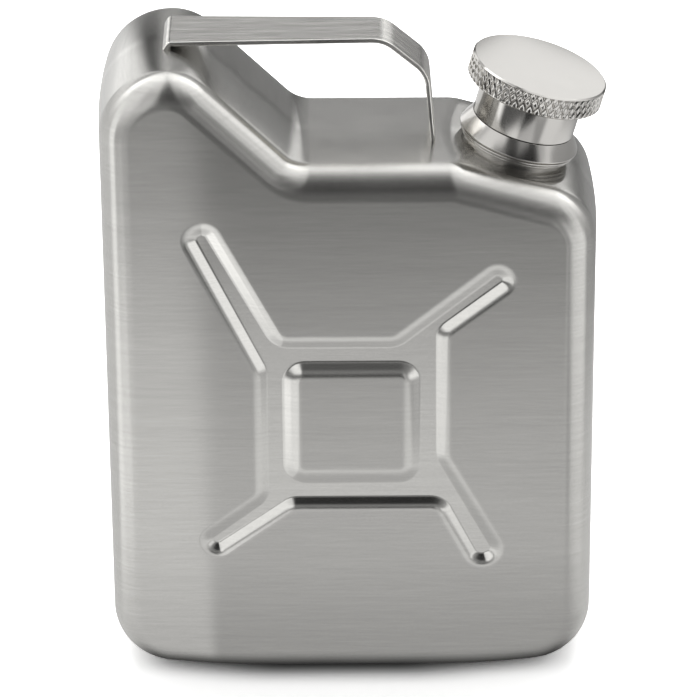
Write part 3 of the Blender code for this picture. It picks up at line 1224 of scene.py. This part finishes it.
def table_levels(tree, place):
    """What the steel mirrors of the table, painted light and shade that glow: the zone in
    front, and pools round it.
    """
    axes, ahead, bearing = lay_out(tree, place)
    distance = tree.nodes.new("ShaderNodeVectorMath")
    distance.operation = "LENGTH"
    tree.links.new(place, distance.inputs[0])
    reach = distance.outputs["Value"]
    out = math_node(tree, "SUBTRACT", ahead, body_depth / 2)
    right = zone_levels(tree, out, front_right_level, front_right_zones)
    left = zone_levels(tree, out, front_left_level, front_left_zones)
    beside = math_node(tree, "MULTIPLY_ADD", out, left_edge_slope, axes["X"])
    at_left = step_node(tree, beside, left_edge_x + left_edge_soft,
                        left_edge_x - left_edge_soft)
    in_front = both(tree, step_node(tree, out, *front_start),
                    both(tree, step_node(tree, out, *front_end),
                         between(tree, axes["X"], *front_sides, front_side_soft)))
    far = step_node(tree, reach, *pools_start)
    around = table_side_level
    for start, end, level in table_pools:
        pool = both(tree, far, between(tree, bearing, start, end, bearing_soft))
        around = mix_values(tree, pool, around, level)
    for from_reach, to_reach, start, end, level in table_far_parts:
        part = both(tree, between(tree, reach, from_reach, to_reach, far_part_soft),
                    between(tree, bearing, start, end, bearing_soft))
        around = mix_values(tree, part, around, level)
    levels = mix_values(tree, in_front, around, mix_values(tree, at_left, right, left))
    deep = math_node(tree, "ABSOLUTE", axes["Y"])
    footprint = both(tree, step_node(tree, deep, *footprint_depth),
                     between(tree, axes["X"], *footprint_sides, footprint_side_soft))
    return mix_values(tree, footprint, levels, footprint_shadow_level)


def painted_contact_shadow(tree, place):
    """White of the table for the camera, with a shadow painted where the flask touches it."""
    axes = split_place(tree, place)
    squares = []
    for axis, middle, half, share in (
        ("X", painted_shadow_middle_x, painted_shadow_half_width, painted_shadow_end_share),
        ("Y", 0, painted_shadow_half_depth, 1),
    ):
        outside = math_node(tree, "SUBTRACT", axes[axis], middle)
        outside = math_node(tree, "ABSOLUTE", outside)
        outside = math_node(tree, "SUBTRACT", outside, half)
        outside = math_node(tree, "MULTIPLY", math_node(tree, "MAXIMUM", outside, 0), share)
        squares.append(both(tree, outside, outside))
    beyond = math_node(tree, "SQRT", math_node(tree, "ADD", *squares))
    # Painted contact shadow: darkest at the flask, white beyond its reach.
    return step_node(tree, beyond, 0, painted_shadow_reach, painted_shadow_darkest, table_white)


def make_table():
    """Pale table: white to the camera, and painted in light and shade that glow for the steel.
    """
    mesh = bmesh.new()
    bmesh.ops.create_grid(mesh, x_segments=1, y_segments=1, size=table_size / 2)
    table = new_object("table", mesh_data(mesh, "table", smooth=False))
    material, tree = new_material("table_white")
    nodes = tree.nodes
    links = tree.links
    nodes.remove(nodes["Principled BSDF"])
    place = object_place(tree)
    path = nodes.new("ShaderNodeLightPath")
    white = mix_values(tree, path.outputs["Is Camera Ray"], table_plain_white,
                       painted_contact_shadow(tree, place))
    diffuse = nodes.new("ShaderNodeBsdfDiffuse")
    links.new(white, diffuse.inputs["Color"])
    # For the steel, the table glows with its painted light and shade.
    glow = nodes.new("ShaderNodeEmission")
    links.new(table_levels(tree, place), glow.inputs["Strength"])
    mix = nodes.new("ShaderNodeMixShader")
    links.new(path.outputs["Is Glossy Ray"], mix.inputs["Fac"])
    links.new(diffuse.outputs["BSDF"], mix.inputs[1])
    links.new(glow.outputs["Emission"], mix.inputs[2])
    links.new(mix.outputs["Shader"], nodes["Material Output"].inputs["Surface"])
    table.data.materials.append(material)


softbox_size = 0.60
softbox_place = Vector((0.0, 0.42, 0.62))
softbox_power = 3.0


def make_softbox():
    """The lamp that casts the shadow. The steel mirrors the room's softbox instead."""
    lamp = bpy.data.lights.new("softbox", "AREA")
    lamp.size = softbox_size
    lamp.energy = softbox_power
    softbox = new_object("softbox", lamp)
    softbox.location = softbox_place
    softbox.rotation_euler = (-softbox_place).to_track_quat("-Z", "Y").to_euler()
    softbox.visible_glossy = False
    softbox.visible_camera = False


card_left = 0.084
card_width = 0.20
card_foot = 0.165
card_height = 0.17
card_distance = 0.30
card_level = 1.22


def make_card():
    """A lit card behind at the right, which the cap's face and the shoulder mirror."""
    mesh = bmesh.new()
    corners = [
        mesh.verts.new((card_left + card_width * x, card_distance, card_foot + card_height * z))
        for x, z in ((0, 0), (1, 0), (1, 1), (0, 1))
    ]
    mesh.faces.new(corners)
    card = new_object("card", mesh_data(mesh, "card", smooth=False))
    card.visible_camera = False
    card.visible_diffuse = False
    card.visible_shadow = False
    card.visible_transmission = False
    material, tree = new_material("card_light")
    tree.nodes.remove(tree.nodes["Principled BSDF"])
    glow = tree.nodes.new("ShaderNodeEmission")
    glow.inputs["Strength"].default_value = card_level
    tree.links.new(glow.outputs["Emission"], tree.nodes["Material Output"].inputs["Surface"])
    card.data.materials.append(material)


make_room()
make_table()
make_softbox()
make_card()
bpy.context.scene.view_settings.view_transform = "Standard"
